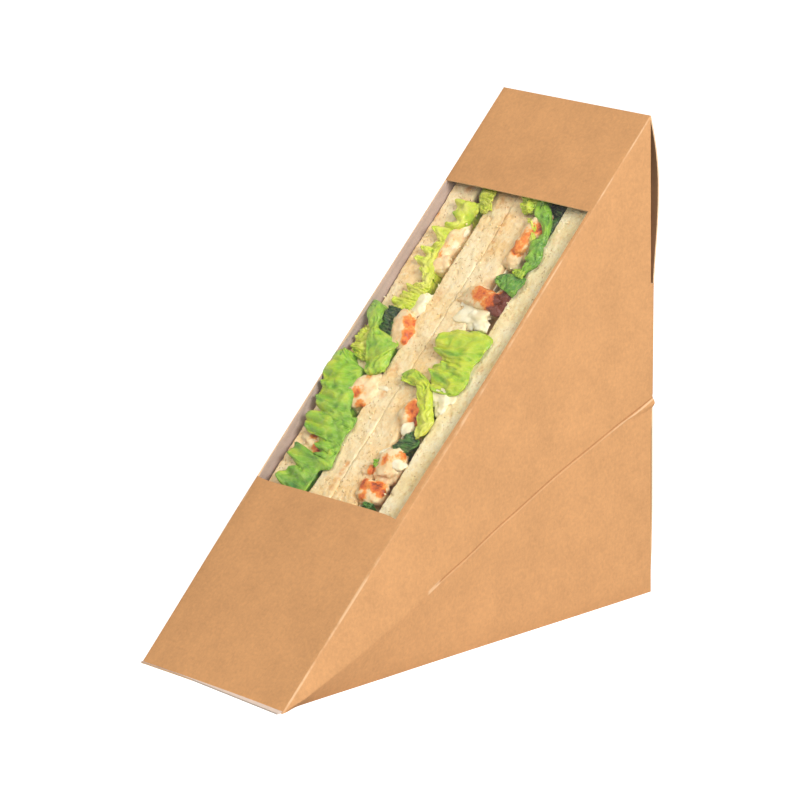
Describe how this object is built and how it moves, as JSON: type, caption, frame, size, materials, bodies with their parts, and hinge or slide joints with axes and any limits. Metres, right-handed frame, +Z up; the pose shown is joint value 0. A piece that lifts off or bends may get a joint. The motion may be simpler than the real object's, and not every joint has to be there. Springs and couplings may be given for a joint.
{
  "type": "sandwich box",
  "caption": "Card sandwich wedge box with a film window in its sloping front, cut filled sandwiches inside and a back panel that opens on a fold at its foot.",
  "frame": {"origin": "middle of the base's underside, on the surface it stands on, with the four corners of the side panels at equal distances", "axes": "+X across the pack, +Y from the front edge to the back panel, +Z up"},
  "size_m": [0.0554, 0.1261, 0.123],
  "materials": {
    "card": "matt uncoated brown board with fine fibres",
    "film": "clear glossy film",
    "bread": "soft open crumb with a pale baked crust",
    "mayonnaise": "smooth and moist",
    "lettuce": "satin, veined and frilled",
    "chicken": "moist cooked meat with a spiced, browned edge"
  },
  "bodies": {
    "pack": {"carton": "card", "window_film": "film", "bread_outer_left": "bread", "bread_inner_left": "bread", "bread_inner_right": "bread", "bread_outer_right": "bread", "mayonnaise_left": "mayonnaise", "mayonnaise_right": "mayonnaise", "lettuce_left_1": "lettuce", "lettuce_left_2": "lettuce", "lettuce_left_3": "lettuce", "lettuce_left_4": "lettuce", "lettuce_left_5": "lettuce", "lettuce_right_1": "lettuce", "lettuce_right_2": "lettuce", "lettuce_right_3": "lettuce", "lettuce_right_4": "lettuce", "lettuce_right_5": "lettuce", "chicken_left_1": "chicken", "chicken_left_2": "chicken", "chicken_left_3": "chicken", "chicken_left_4": "chicken", "chicken_right_1": "chicken", "chicken_right_2": "chicken", "chicken_right_3": "chicken", "chicken_right_4": "chicken", "chicken_right_5": "chicken"},
    "lid": {"back_lid": "card"}
  },
  "joints": [
    {"name": "lid_hinge", "type": "hinge", "parent": "pack", "child": "lid", "pos_m": [0, 0.0619, 0], "axis": [-1, 0, 0], "range_deg": [0, 86]}
  ]
}
